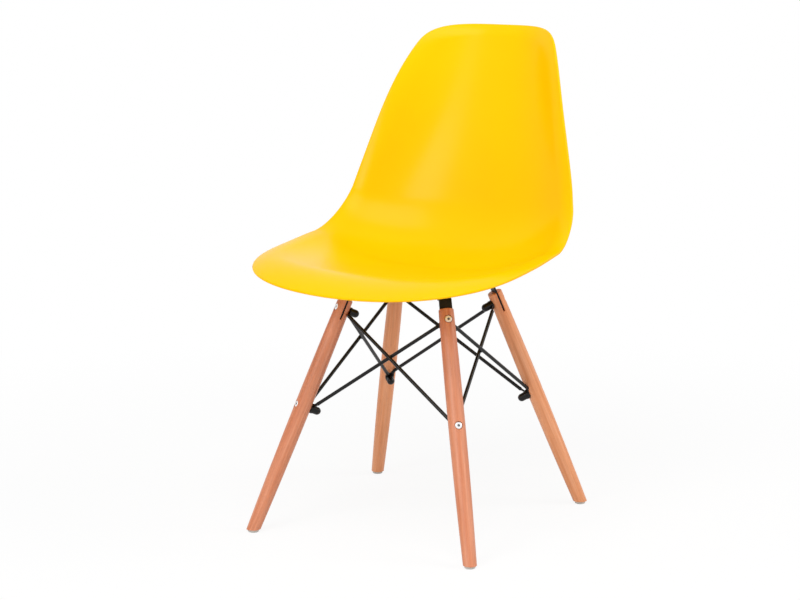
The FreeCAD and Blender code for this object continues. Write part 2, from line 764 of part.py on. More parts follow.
def leg_bolt(corner, level):
    """A round-headed socket bolt: its head sits in the outer bore, its end lies in the cap nut."""
    seat = -head_seat(BOLT_HEIGHTS[level])
    name = "_%s_%s" % (level, corner)
    head_top = seat - size("bolt_head_height")
    head = primitive(
        "Cylinder", "bolt_head" + name, bolt_frame(corner, level, head_top),
        Radius="sizes.bolt_head_diameter / 2", Height="sizes.bolt_head_height")
    doc.recompute()
    crown = boolean("Fillet", "bolt_crown" + name, Base=head)
    top = [
        number + 1 for number, edge in enumerate(head.Shape.Edges)
        if edge.isClosed() and edge.CenterOfMass.isEqual(head.Placement.Base, SAME_PLACE)
    ]
    crown.Edges = [(number, size("bolt_head_round"), size("bolt_head_round")) for number in top]
    grip = work_out("bolt_grip" + name, nut_seat(level) - seat)
    shank = primitive(
        "Cylinder", "bolt_shank" + name, bolt_frame(corner, level, seat),
        Radius="sizes.bolt_diameter / 2", Height=grip + " + sizes.cap_nut_thread_depth - sizes.bolt_end_gap")
    blank = boolean("MultiFuse", "bolt_blank" + name, Shapes=[crown, shank])
    socket = hex_socket(
        "bolt_socket" + name, bolt_frame(corner, level, head_top),
        "sizes.bolt_socket_flats", "sizes.bolt_socket_depth")
    return boolean("Cut", "bolt" + name, Base=blank, Tool=socket)


def leg_bolts(level):
    bolts = [leg_bolt(corner, level) for corner in CORNERS]
    return boolean("Compound", "leg_bolts_" + level, Links=bolts)


def cap_nut(corner, level):
    """A closed round cap nut: a barrel with a domed end, threaded from the leg's side."""
    name = "_%s_%s" % (level, corner)
    seat = nut_seat(level)
    barrel = primitive(
        "Cylinder", "nut_barrel" + name, bolt_frame(corner, level, seat),
        Radius="sizes.cap_nut_diameter / 2", Height="sizes.cap_nut_barrel")
    dome = primitive(
        "Sphere", "nut_dome" + name, bolt_frame(corner, level, seat + size("cap_nut_barrel")),
        Radius="sizes.cap_nut_diameter / 2")
    blank = boolean("MultiFuse", "nut_blank" + name, Shapes=[barrel, dome])
    trim = primitive(
        "Cylinder", "nut_face_trim" + name, bolt_frame(corner, level, seat - size("cap_nut_diameter")),
        Radius="sizes.cap_nut_diameter", Height="sizes.cap_nut_diameter")
    thread = primitive(
        "Cylinder", "nut_thread" + name, bolt_frame(corner, level, seat),
        Radius="sizes.bolt_diameter / 2 + sizes.thread_clearance", Height="sizes.cap_nut_thread_depth")
    removed = boolean("MultiFuse", "nut_removed" + name, Shapes=[trim, thread])
    return boolean("Cut", "cap_nut" + name, Base=blank, Tool=removed)


def cap_nuts(level):
    nuts = [cap_nut(corner, level) for corner in CORNERS]
    return boolean("Compound", "cap_nuts_" + level, Links=nuts)


# Brace rods

FACES = {
    "front": ("front_left", "front_right"),
    "left": ("rear_left", "front_left"),
}
OPPOSITE = {"front": "rear", "left": "right"}


def eye_frame(corner, level, layer):
    """Middle of a rod's eye on a bolt, and the leg's outward direction; layer 0 lies next to the leg."""
    inward = inner_seat(BOLT_HEIGHTS[level]) + (layer + 0.5) * size("rod_eye_thickness")
    frame = bolt_frame(corner, level, inward)
    return frame.Base, frame.Rotation.multVec(Vector(0, 0, -1))


def bend_points(high, low, layer, joggle):
    """The two bends of a rod from one leg's upper bolt to the next leg's lower bolt."""
    ends = [eye_frame(high, "upper", layer), eye_frame(low, "lower", layer)]
    points = []
    for (eye, outward), (other, _) in zip(ends, reversed(ends)):
        way = other - eye
        along_plate = unit(way - outward * way.dot(outward))
        points.append((eye, outward, along_plate, eye + along_plate * size("rod_bend_from_bolt")
                       + outward * joggle))
    return points


def line_gap(first, second):
    """The nearest distance between two rods' middle lines, the point halfway and the way across."""
    first_way = unit(first[1] - first[0])
    second_way = unit(second[1] - second[0])
    across = unit(first_way.cross(second_way))
    offset = second[0] - first[0]
    dot = first_way.dot(second_way)
    reach = (offset.dot(first_way) - offset.dot(second_way) * dot) / (1.0 - dot * dot)
    nearest = first[0] + first_way * reach
    gap = offset.dot(across)
    return abs(gap), nearest + across * (gap / 2.0), across


def rod_runs(face):
    """Bends of the outer and the inner rod of one face; the inner one bows in to clear the outer one."""
    left, right = FACES[face]
    outer = bend_points(right, left, 0, size("outer_rod_joggle"))
    wanted = size("rod_diameter") + size("rod_crossing_gap")

    def gap_with(joggle):
        inner = bend_points(left, right, 1, -joggle)
        return line_gap([end[3] for end in outer], [end[3] for end in inner])[0]

    at_zero = gap_with(0.0)
    per_step = gap_with(1.0) - at_zero
    inner = bend_points(left, right, 1, -(wanted - at_zero) / per_step)
    return outer, inner


def brace_rod(ends):
    """A round rod whose two ends are flattened to a tongue and an eye square to the leg bolt."""
    radius = size("rod_diameter") / 2.0
    thickness = size("rod_eye_thickness")
    pieces = []
    holes = []
    for eye, outward, way, bend in ends:
        face = eye - outward * (thickness / 2.0)
        pieces.append(Part.makeCylinder(size("rod_eye_diameter") / 2.0, thickness, face, outward))
        side = outward.cross(way)
        corner = face - side * (size("rod_tongue_width") / 2.0)
        tongue = Part.makeBox(size("rod_tongue_length"), size("rod_tongue_width"), thickness)
        tongue.Placement = Placement(corner, turned(way, outward))
        pieces.append(tongue)
        shoulder = eye + way * (size("rod_tongue_length") - size("rod_tongue_lap"))
        flat = Part.Ellipse(shoulder + side * (size("rod_tongue_width") / 2.0 * ROD_THROAT),
                            shoulder + outward * (thickness / 2.0 * ROD_THROAT), shoulder)
        throat = radius * ROD_THROAT
        round_end = Part.Ellipse(bend + side * throat, bend + outward * (throat * ROD_THROAT), bend)
        pieces.append(Part.makeLoft(
            [Part.Wire(flat.toShape()), Part.Wire(round_end.toShape())], True, True))
        pieces.append(Part.makeSphere(radius * ELBOW_SWELL, bend))
        hole = size("bolt_diameter") / 2.0 + size("bolt_hole_clearance")
        holes.append(Part.makeCylinder(hole, 2 * thickness, eye - outward * thickness, outward))
    start = ends[0][3]
    run = ends[1][3] - start
    rod = Part.makeCylinder(radius, run.Length, start, run)
    return rod.multiFuse(pieces).cut(holes)


def shaped(label, shape):
    thing = doc.addObject("Part::Feature", label)
    thing.Label = label
    thing.Shape = shape
    return thing


def half_turned(shape):
    """The same piece on the opposite side: the base is alike when it is turned half round."""
    copy = shape.copy()
    copy.rotate(Vector(0, size("base_set_back"), 0), UP, 180.0)
    return copy


def braces():
    """Two rods on each face and the spot of weld that joins them where they cross."""
    rods = []
    beads = []
    for face, opposite in OPPOSITE.items():
        outer, inner = rod_runs(face)
        crossing, across = line_gap([end[3] for end in outer], [end[3] for end in inner])[1:]
        pair = {"outer": brace_rod(outer), "inner": brace_rod(inner)}
        height = size("brace_weld_height")
        spot = Part.makeCylinder(
            size("brace_weld_diameter") / 2.0, height, crossing - across * (height / 2.0), across)
        bead = spot.cut(list(pair.values()))
        beads += [bead, half_turned(bead)]
        for layer, rod in pair.items():
            rods.append(shaped("brace_rod_%s_%s" % (face, layer), rod))
            rods.append(shaped("brace_rod_%s_%s" % (opposite, layer), half_turned(rod)))
    welds = shaped("brace_welds", Part.makeCompound(beads))
    return rods + [welds]


# Under-seat frame

def arm_frame(corner):
    """Level frame in the middle of the base with X towards a leg's top."""
    side, end = CORNERS[corner]
    way = unit(Vector(side * size("leg_top_across"), end * size("leg_top_along"), 0))
    return Placement(Vector(0, size("base_set_back"), 0), turned(way, UP))


def bar_bend(corner):
    """The bent end of a flat bar: a short flat, the bend and the tab that goes down into the leg."""
    frame = leg_placement(corner)
    axis = frame.Rotation.multVec(UP)
    outward = unit(Vector(frame.Base.x, frame.Base.y - size("base_set_back"), 0))
    lean_way = frame.Rotation.multVec(ACROSS)
    lean_way = unit(Vector(lean_way.x, lean_way.y, 0))
    thickness = size("bar_thickness")
    width = size("bar_width")
    middle_height = BAR_TOP - thickness / 2.0
    corner_point = frame.Base + axis * (middle_height / axis.z)
    turn = math.pi / 2.0 - LEG_LEAN
    back = (size("bar_bend_inside") + thickness / 2.0) * math.tan(turn / 2.0)
    flat_end = corner_point - lean_way * back
    tab_start = corner_point - axis * back
    level = Placement(flat_end, turned(lean_way, UP))
    name = "_" + corner
    short_flat = primitive(
        "Box", "bend_flat" + name,
        level.multiply(Placement(Vector(-size("bar_bend_lap"), -width / 2.0, -thickness / 2.0), Rotation())),
        Length="sizes.bar_bend_lap", Width="sizes.bar_width", Height="sizes.bar_thickness")
    tangent = UP.cross(lean_way)
    centre = flat_end - UP * (thickness / 2.0 + size("bar_bend_inside")) - tangent * (width / 2.0)
    arc_frame = Placement(centre, turned(lean_way, tangent))
    start_turn = Placement(Vector(), Rotation(UP, -90.0))
    full = primitive(
        "Cylinder", "bend_outside" + name, arc_frame.multiply(start_turn),
        Radius="sizes.bar_bend_inside + sizes.bar_thickness", Height="sizes.bar_width",
        Angle="90 - " + LEG_LEAN_RULE)
    core = primitive(
        "Cylinder", "bend_inside" + name, arc_frame,
        Radius="sizes.bar_bend_inside", Height="sizes.bar_width")
    bend = boolean("Cut", "bend" + name, Base=full, Tool=core)
    tab_length = (tab_start - frame.Base).dot(axis) - LEG_LENGTH + size("tab_depth_in_leg")
    tab_rule = work_out("tab_length" + name, tab_length)
    tab_frame = Placement(tab_start, frame.Rotation)
    tab = primitive(
        "Box", "tab" + name,
        tab_frame.multiply(Placement(Vector(-thickness / 2.0, -width / 2.0, -tab_length), Rotation())),
        Length="sizes.bar_thickness", Width="sizes.bar_width", Height=tab_rule)
    flat_reach = (flat_end - arm_frame(corner).Base).dot(arm_frame(corner).Rotation.multVec(ACROSS))
    return [short_flat, bend, tab], flat_reach


def bar_holes(corner):
    """The shock mount's hole through the flat of the bar and the bolt's hole through its tab."""
    mount_hole = primitive(
        "Cylinder", "mount_hole_" + corner,
        Placement(mount_point(corner, BAR_TOP - 2 * size("bar_thickness")), Rotation()),
        Radius="sizes.screw_diameter / 2 + sizes.bolt_hole_clearance", Height="4 * sizes.bar_thickness")
    bolt_hole = primitive(
        "Cylinder", "tab_hole_" + corner, bolt_frame(corner, "upper", -size("bar_width")),
        Radius="sizes.bolt_diameter / 2 + sizes.bolt_hole_clearance", Height="2 * sizes.bar_width")
    return [mount_hole, bolt_hole]


def flat_bar(label, corner, back_reach, reach):
    """A straight flat bar along a diagonal, from behind the middle of the base out to a bend."""
    frame = arm_frame(corner)
    start = Vector(-back_reach, -size("bar_width") / 2.0, BAR_UNDERSIDE)
    return primitive(
        "Box", label, frame.multiply(Placement(start, Rotation())),
        Length=work_out(label, back_reach + reach), Width="sizes.bar_width", Height="sizes.bar_thickness")


def under_seat_frame():
    """A diagonal bar bent down into two legs, and two arms butted against it."""
    bends = {corner: bar_bend(corner) for corner in CORNERS}
    first, last = "front_left", "rear_right"
    straight = flat_bar("diagonal_flat", first, bends[last][1], bends[first][1])
    blank = boolean("MultiFuse", "diagonal_blank", Shapes=[straight] + bends[first][0] + bends[last][0])
    holes = boolean("MultiFuse", "diagonal_holes", Shapes=bar_holes(first) + bar_holes(last))
    pieces = [boolean("Cut", "frame_diagonal_bar", Base=blank, Tool=holes)]
    for corner in ("front_right", "rear_left"):
        arm_flat = flat_bar("arm_flat_" + corner, corner, 0.0, bends[corner][1])
        arm_blank = boolean("MultiFuse", "arm_blank_" + corner, Shapes=[arm_flat] + bends[corner][0])
        removed = boolean("MultiFuse", "arm_removed_" + corner, Shapes=bar_holes(corner) + [straight])
        pieces.append(boolean("Cut", "frame_arm_" + corner, Base=arm_blank, Tool=removed))
    return pieces


def frame_welds(bars):
    """Half-round beads over and under the seams between each arm and the diagonal bar."""
    beads = []
    diagonal = arm_frame("front_left").Rotation.multVec(ACROSS)
    square = UP.cross(diagonal)
    length = size("bar_width") * WELD_SHARE
    for corner in ("front_right", "rear_left"):
        arm = arm_frame(corner)
        arm_way = arm.Rotation.multVec(ACROSS)
        seam = arm.Base + arm_way * (size("bar_width") / 2.0 / abs(square.dot(arm_way)))
        for face, height in (("over", BAR_TOP), ("under", BAR_UNDERSIDE)):
            begin = seam - diagonal * (length / 2.0) + UP * height
            beads.append(primitive(
                "Cylinder", "bead_%s_%s" % (face, corner), Placement(begin, turned(UP, diagonal)),
                Radius="sizes.weld_bead_radius", Height="sizes.bar_width * %.2f" % WELD_SHARE))
    raw = boolean("Compound", "bead_rods", Links=beads)
    steel = boolean("MultiFuse", "frame_steel", Shapes=bars)
    return boolean("Cut", "frame_welds", Base=raw, Tool=steel)


# Shock mounts, inserts, screws and washers

def ring(label, base, outer, inner, height):
    """A round blank with a round hole through it."""
    blank = primitive(
        "Cylinder", label + "_blank", Placement(base, Rotation()), Radius=outer, Height=height)
    hole = primitive(
        "Cylinder", label + "_hole", Placement(base, Rotation()), Radius=inner, Height=height)
    return boolean("Cut", label, Base=blank, Tool=hole)


def shock_mount(corner):
    """A rubber block with bevelled edges and a hole for its screw."""
    body = body_named("shock_mount_" + corner, Placement(mount_point(corner, BAR_TOP), Rotation()))
    profile = sketch_on(body, "XZ_Plane")
    outer = "sizes.shock_mount_diameter / 2"
    inner = "sizes.screw_diameter / 2 + sizes.bolt_hole_clearance"
    draw_outline(profile, [
        (inner, "0"),
        (outer + " - sizes.shock_mount_edge", "0"),
        (outer, "sizes.shock_mount_edge"),
        (outer, "sizes.shock_mount_height - sizes.shock_mount_edge"),
        (outer + " - sizes.shock_mount_edge", "sizes.shock_mount_height"),
        (inner, "sizes.shock_mount_height"),
    ])
    revolved(body, profile)
    return body


def threaded_inserts():
    inserts = [
        ring("insert_" + corner, mount_point(corner, MOUNT_FACE), "sizes.insert_diameter / 2",
             "sizes.screw_diameter / 2 + sizes.thread_clearance", "sizes.insert_length")
        for corner in CORNERS
    ]
    return boolean("Compound", "shell_threaded_inserts", Links=inserts)


def mount_washers():
    washers = [
        ring("washer_" + corner, mount_point(corner, WASHER_FACE), "sizes.washer_diameter / 2",
             "sizes.screw_diameter / 2 + sizes.bolt_hole_clearance", "sizes.washer_thickness")
        for corner in CORNERS
    ]
    return boolean("Compound", "mount_washers", Links=washers)


def mount_screws():
    """Socket screws driven up through washer, bar and rubber into the shell's inserts."""
    screws = []
    for corner in CORNERS:
        name = "_" + corner
        head_base = mount_point(corner, WASHER_FACE - size("screw_head_height"))
        head = primitive(
            "Cylinder", "screw_head" + name, Placement(head_base, Rotation()),
            Radius="sizes.screw_head_diameter / 2", Height="sizes.screw_head_height")
        shank = primitive(
            "Cylinder", "screw_shank" + name, Placement(mount_point(corner, WASHER_FACE), Rotation()),
            Radius="sizes.screw_diameter / 2", Height="sizes.screw_length")
        blank = boolean("MultiFuse", "screw_blank" + name, Shapes=[head, shank])
        socket = hex_socket(
            "screw_socket" + name, Placement(head_base, Rotation()),
            "sizes.screw_socket_flats", "sizes.screw_socket_depth")
        screws.append(boolean("Cut", "screw" + name, Base=blank, Tool=socket))
    return boolean("Compound", "mount_screws", Links=screws)


def check_objects():
    for thing in doc.Objects:
        if "Invalid" in thing.State or "Error" in thing.State:
            raise RuntimeError("%s failed: %s" % (thing.Label, thing.State))


def write_parts(pieces):
    os.makedirs("parts", exist_ok=True)
    for piece in pieces:
        shape = piece.Shape
        if shape.isNull() or not shape.isValid():
            raise RuntimeError("%s has no valid shape" % piece.Label)
        shape.exportStep(os.path.join("parts", piece.Label + ".step"))


steel_bars = under_seat_frame()
sub_parts = [seat_shell(), threaded_inserts(), mount_screws(), mount_washers(), glide_nails()]
sub_parts += steel_bars + [frame_welds(steel_bars)]
sub_parts += [shock_mount(corner) for corner in CORNERS]
sub_parts += [leg(corner) for corner in CORNERS]
sub_parts += [glide(corner) for corner in CORNERS]
sub_parts += [leg_bolts(level) for level in BOLT_HEIGHTS]
sub_parts += [cap_nuts(level) for level in BOLT_HEIGHTS]
sub_parts += braces()
doc.recompute()
check_objects()
write_parts(sub_parts)
for piece in sub_parts:
    print(piece.Label, len(piece.Shape.Solids), round(piece.Shape.Volume, 1))
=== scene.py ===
import math

import bmesh
import bpy
import numpy as np
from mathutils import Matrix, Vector


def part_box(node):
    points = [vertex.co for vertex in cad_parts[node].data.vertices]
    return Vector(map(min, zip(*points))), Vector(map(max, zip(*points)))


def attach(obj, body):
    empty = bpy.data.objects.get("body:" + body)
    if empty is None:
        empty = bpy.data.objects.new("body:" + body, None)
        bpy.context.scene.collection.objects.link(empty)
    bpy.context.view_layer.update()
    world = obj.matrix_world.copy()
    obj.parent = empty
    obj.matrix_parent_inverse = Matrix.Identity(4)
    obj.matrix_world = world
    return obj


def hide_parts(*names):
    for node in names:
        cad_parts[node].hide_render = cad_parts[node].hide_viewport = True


# A moulded plastic shell chair on four beech legs with crossed steel braces.
# Metres, in the CAD frame: floor at Z 0, the sitter faces -Y and the sitter's left is +X.

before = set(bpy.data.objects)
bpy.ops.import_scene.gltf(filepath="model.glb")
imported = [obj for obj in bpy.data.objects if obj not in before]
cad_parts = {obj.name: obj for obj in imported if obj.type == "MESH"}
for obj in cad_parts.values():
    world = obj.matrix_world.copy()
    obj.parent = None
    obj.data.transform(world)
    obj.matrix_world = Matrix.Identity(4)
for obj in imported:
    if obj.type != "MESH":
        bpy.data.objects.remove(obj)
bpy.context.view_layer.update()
MM = 0.001
# Points nearer than this, in metres, are one point
MERGE = 1e-6
CORNERS = {"front_left": (1, -1), "front_right": (-1, -1), "rear_left": (1, 1), "rear_right": (-1, 1)}


# Meshes

def smooth_curve(stations):
    """A natural cubic through (place, value) pairs: one linear system gives the curvature at each place."""
    place, value = np.array(stations, float).T
    span = np.diff(place)
    slope = np.diff(value) / span
    system = np.eye(len(place))
    inner = np.arange(1, len(place) - 1)
    system[inner, inner - 1] = span[:-1]
    system[inner, inner] = 2.0 * (span[:-1] + span[1:])
    system[inner, inner + 1] = span[1:]
    wanted = np.zeros(len(place))
    wanted[inner] = 6.0 * np.diff(slope)
    bend = np.linalg.solve(system, wanted)

    def read(at):
        at = np.clip(at, place[0], place[-1])
        index = np.clip(np.searchsorted(place, at, side="right") - 1, 0, len(place) - 2)
        before, after, width = at - place[index], place[index + 1] - at, span[index]
        cubic = (bend[index] * after**3 + bend[index + 1] * before**3) / (6.0 * width)
        first = (value[index] / width - bend[index] * width / 6.0) * after
        last = (value[index + 1] / width - bend[index + 1] * width / 6.0) * before
        return cubic + first + last

    return read


def grid_faces(rows, columns, closed_rows=False, closed_columns=False):
    """Corner numbers of the quads of a grid of points; a closed direction joins its end to its start."""
    row = np.arange(rows if closed_rows else rows - 1)
    column = np.arange(columns if closed_columns else columns - 1)
    r, c = np.meshgrid(row, column, indexing="ij")
    next_r, next_c = (r + 1) % rows, (c + 1) % columns
    this, following = r * columns, next_r * columns
    quads = np.stack([this + c, this + next_c, following + next_c, following + c], -1)
    return quads.reshape(-1, 4)


def piece_from(name, grids, material, replaced=(), sharp_degrees=None):
    """A riding piece from (points, faces) grids in metres: doubles merged, faces turned outwards."""
    points, faces, start = [], [], 0
    for grid, quads in grids:
        flat = grid.reshape(-1, 3)
        points.append(flat)
        faces.append(quads + start)
        start += len(flat)
    mesh = bpy.data.meshes.new(name)
    mesh.from_pydata(np.concatenate(points).tolist(), [], np.concatenate(faces).tolist())
    solid = bmesh.new()
    solid.from_mesh(mesh)
    bmesh.ops.remove_doubles(solid, verts=solid.verts, dist=MERGE)
    bmesh.ops.dissolve_degenerate(solid, edges=solid.edges, dist=MERGE)
    bmesh.ops.recalc_face_normals(solid, faces=solid.faces)
    for face in solid.faces:
        face.smooth = True
    if sharp_degrees:
        for edge in solid.edges:
            edge.smooth = len(edge.link_faces) == 2 and edge.calc_face_angle() < math.radians(sharp_degrees)
    solid.to_mesh(mesh)
    solid.free()
    mesh.materials.append(material)
    piece = bpy.data.objects.new(name, mesh)
    bpy.context.scene.collection.objects.link(piece)
    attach(piece, "root")
    if replaced:
        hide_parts(*replaced)
    return piece


# Materials

def linear(code):
    """An sRGB hex colour as linear RGBA."""
    parts = [int(code[index:index + 2], 16) / 255.0 for index in (1, 3, 5)]
    return [p / 12.92 if p <= 0.04045 else ((p + 0.055) / 1.055) ** 2.4 for p in parts] + [1.0]


def add(tree, kind, sockets=None, stops=None, **settings):
    """Adds a node with its settings; each socket takes a value or the output that feeds it."""
    made = tree.nodes.new("ShaderNode" + kind)
    for name, value in settings.items():
        setattr(made, name, value)
    for place, (at, colour) in enumerate(stops or []):
        elements = made.color_ramp.elements
        element = elements[place] if place < len(elements) else elements.new(at)
        element.position, element.color = at, colour
    for name, value in (sockets or {}).items():
        if isinstance(value, bpy.types.NodeSocket):
            tree.links.new(value, made.inputs[name])
        else:
            made.inputs[name].default_value = value
    return made


def finish_named(name, **shader_values):
    """A material with its shader's own values set; returns the material, its tree and its shader."""
    material = bpy.data.materials.new(name)
    material.use_nodes = True
    tree = material.node_tree
    shader = tree.nodes["Principled BSDF"]
    for key, value in shader_values.items():
        shader.inputs[key.replace("_", " ")].default_value = value
    return material, tree, shader


def shell_polypropylene():
    """Injection-moulded polypropylene: deep even colour, soft gloss, and a faint ripple from the mould."""
    material, tree, shader = finish_named(
        "shell_polypropylene", Metallic=0.0, IOR=1.49, Specular_IOR_Level=0.08)
    place = add(tree, "TexCoord").outputs["Object"]
    flow = add(tree, "TexNoise", {"Vector": place, "Scale": 7.0, "Detail": 2.0})
    tint = add(tree, "ValToRGB", {"Fac": flow.outputs["Fac"]},
               stops=[(0.35, linear("#FFBC00")), (0.65, linear("#FFBF00"))])
    tree.links.new(tint.outputs["Color"], shader.inputs["Base Color"])
    # The mould's fine grain is about 0.3 mm; it is drawn at 1.4 mm so that it shows in the gloss
    grain = add(tree, "TexNoise", {"Vector": place, "Scale": 1.0 / (1.4 * MM), "Detail": 3.0})
    gloss = add(tree, "MapRange", {"Value": grain.outputs["Fac"], "To Min": 0.22, "To Max": 0.29})
    tree.links.new(gloss.outputs["Result"], shader.inputs["Roughness"])
    ripple = add(tree, "Bump", {"Height": grain.outputs["Fac"], "Strength": 0.12, "Distance": 0.05 * MM})
    tree.links.new(ripple.outputs["Normal"], shader.inputs["Normal"])
    return material


# Beech colours of the darker, the middle and the paler layers; the rear pair is painted paler and yellower,
# as painted light for the light that falls on the rear legs
BEECH_LAYERS_AND_PAINTED_LIGHT = {"front": ("#C57650", "#CF8460", "#D79272"), "rear": ("#DB8B59", "#E69B6B", "#EFAA7F")}


def beech(corner, turn):
    """Turned beech under clear satin lacquer, with fine straight grain and short dark ray flecks."""
    # The front or the rear pair's colours; the rear pair's paler, yellower colours are painted light
    dark, middle, pale = BEECH_LAYERS_AND_PAINTED_LIGHT[corner.split("_")[0]]
    material, tree, shader = finish_named("beech_" + corner, Metallic=0.0, IOR=1.5, Roughness=0.42)
    place = add(tree, "TexCoord").outputs["Object"]
    along = add(tree, "Mapping", {"Vector": place, "Rotation": turn}, vector_type="TEXTURE").outputs["Vector"]
    # Grain lines about 0.9 mm apart and 45 mm long
    lines_at = add(tree, "Mapping", {"Vector": along, "Scale": (1 / 0.9, 1 / 0.9, 1 / 45.0)})
    lines = add(tree, "TexNoise", {"Vector": lines_at.outputs["Vector"], "Scale": 1.0 / MM,
                                   "Detail": 4.0, "Distortion": 0.3})
    # Growth layers 5 to 7 mm wide and 160 mm long
    layer_at = add(tree, "Mapping", {"Vector": along, "Scale": (1 / 7.0, 1 / 5.0, 1 / 160.0)})
    layers = add(tree, "TexNoise", {"Vector": layer_at.outputs["Vector"], "Scale": 1.0 / MM, "Detail": 2.0})
    # Ray flecks about 0.55 mm wide and 3.2 mm long
    fleck_at = add(tree, "Mapping", {"Vector": along, "Scale": (1 / 0.55, 1 / 0.55, 1 / 3.2)})
    flecks = add(tree, "TexNoise", {"Vector": fleck_at.outputs["Vector"], "Scale": 1.0 / MM, "Detail": 1.0})
    body = add(tree, "ValToRGB", {"Fac": layers.outputs["Fac"]},
               stops=[(0.30, linear(dark)), (0.52, linear(middle)), (0.72, linear(pale))])
    grain = add(tree, "MapRange", {"Value": lines.outputs["Fac"], "From Min": 0.35, "From Max": 0.65,
                                   "To Min": 0.92, "To Max": 1.05})
    shaded = add(tree, "VectorMath", {0: body.outputs["Color"], "Scale": grain.outputs["Result"]},
                 operation="SCALE")
    spots = add(tree, "ValToRGB", {"Fac": flecks.outputs["Fac"]},
                stops=[(0.66, (0, 0, 0, 1)), (0.74, (1, 1, 1, 1))])
    spot_share = add(tree, "Math", {0: spots.outputs["Color"], 1: 0.5}, operation="MULTIPLY")
    colour = add(tree, "Mix", {"Factor": spot_share.outputs["Value"], 6: shaded.outputs["Vector"],
                               7: linear("#A65A38")}, data_type="RGBA")
    tree.links.new(colour.outputs[2], shader.inputs["Base Color"])
    gloss = add(tree, "MapRange", {"Value": lines.outputs["Fac"], "To Min": 0.36, "To Max": 0.50})
    tree.links.new(gloss.outputs["Result"], shader.inputs["Roughness"])
    pores = add(tree, "Bump", {"Height": lines.outputs["Fac"], "Strength": 0.25, "Distance": 0.08 * MM})
    tree.links.new(pores.outputs["Normal"], shader.inputs["Normal"])
    return material


def coated_steel(name, code, roughness, grain_mm):
    """Black coated steel: a dark even film with a slight unevenness that breaks up its highlight."""
    material, tree, shader = finish_named(name, Metallic=0.0, IOR=1.5, Specular_IOR_Level=0.3)
    place = add(tree, "TexCoord").outputs["Object"]
    film = add(tree, "TexNoise", {"Vector": place, "Scale": 1.0 / (grain_mm * MM), "Detail": 3.0})
    shader.inputs["Base Color"].default_value = linear(code)
    gloss = add(tree, "MapRange", {"Value": film.outputs["Fac"], "To Min": roughness - 0.06,
                                   "To Max": roughness + 0.06})
    tree.links.new(gloss.outputs["Result"], shader.inputs["Roughness"])
    bump = add(tree, "Bump", {"Height": film.outputs["Fac"], "Strength": 0.2, "Distance": 0.04 * MM})
    tree.links.new(bump.outputs["Normal"], shader.inputs["Normal"])
    return material


def plated_metal(name, code, roughness):
    """Zinc, brass or steel with fine turning marks, and painted shade that darkens its colour where its own
    shape closes it in.
    """
    material, tree, shader = finish_named(name, Metallic=1.0)
    # Painted shade: the base colour darkens in sockets and hollows that the metal's own shape closes in
    painted_shade_openness = add(tree, "AmbientOcclusion", {"Distance": 3.0 * MM}, only_local=True)
    painted_shade_level = add(tree, "MapRange", {"Value": painted_shade_openness.outputs["AO"], "From Min": 0.4, "From Max": 0.9,
                                   "To Min": 0.05, "To Max": 1.0})
    colour = add(tree, "VectorMath", {0: linear(code)[:3], "Scale": painted_shade_level.outputs["Result"]},
                 operation="SCALE")
    tree.links.new(colour.outputs["Vector"], shader.inputs["Base Color"])
    place = add(tree, "TexCoord").outputs["Object"]
    marks = add(tree, "TexNoise", {"Vector": place, "Scale": 1.0 / (0.6 * MM), "Detail": 2.0})
    gloss = add(tree, "MapRange", {"Value": marks.outputs["Fac"], "To Min": roughness - 0.07,
                                   "To Max": roughness + 0.07})
    tree.links.new(gloss.outputs["Result"], shader.inputs["Roughness"])
    return material


def plain_moulding(name, code, roughness, grain_mm):
    """Rubber or nylon: a matt moulded face with a fine grain."""
    material, tree, shader = finish_named(name, Metallic=0.0, IOR=1.5)
    place = add(tree, "TexCoord").outputs["Object"]
    grain = add(tree, "TexNoise", {"Vector": place, "Scale": 1.0 / (grain_mm * MM), "Detail": 2.0})
    tint = add(tree, "Mix", {"Factor": grain.outputs["Fac"], 6: linear(code),
                             7: [0.8 * part for part in linear(code)[:3]] + [1.0]}, data_type="RGBA")
    tree.links.new(tint.outputs[2], shader.inputs["Base Color"])
    shader.inputs["Roughness"].default_value = roughness
    bump = add(tree, "Bump", {"Height": grain.outputs["Fac"], "Strength": 0.3, "Distance": 0.05 * MM})
    tree.links.new(bump.outputs["Normal"], shader.inputs["Normal"])
    return material


# Shell: side profile, widths and hollow, in millimetres until the mesh is made

SEAT_FRONT_HEIGHT = 456.3
SEAT_FOLD_HEIGHT = 417.4
SEAT_RUN = 409.5
BACK_LENGTH = 431.4
BACK_LEAN = math.radians(19.4)
FOLD_RADIUS = 143.0
WALL = 4.5
BASE_MIDDLE = -22.3
FRONT_OVERHANG = 259.0
SHELL_FRONT = BASE_MIDDLE - FRONT_OVERHANG
SEAT_TURN = math.atan((SEAT_FOLD_HEIGHT - SEAT_FRONT_HEIGHT) / SEAT_RUN)
FOLD_TURN = math.pi / 2.0 - BACK_LEAN - SEAT_TURN
TANGENT = FOLD_RADIUS * math.tan(FOLD_TURN / 2.0)
SEAT_STRAIGHT = SEAT_RUN / math.cos(SEAT_TURN) - TANGENT
FOLD_LENGTH = FOLD_RADIUS * FOLD_TURN
SHELL_LENGTH = SEAT_STRAIGHT + FOLD_LENGTH + BACK_LENGTH - TANGENT

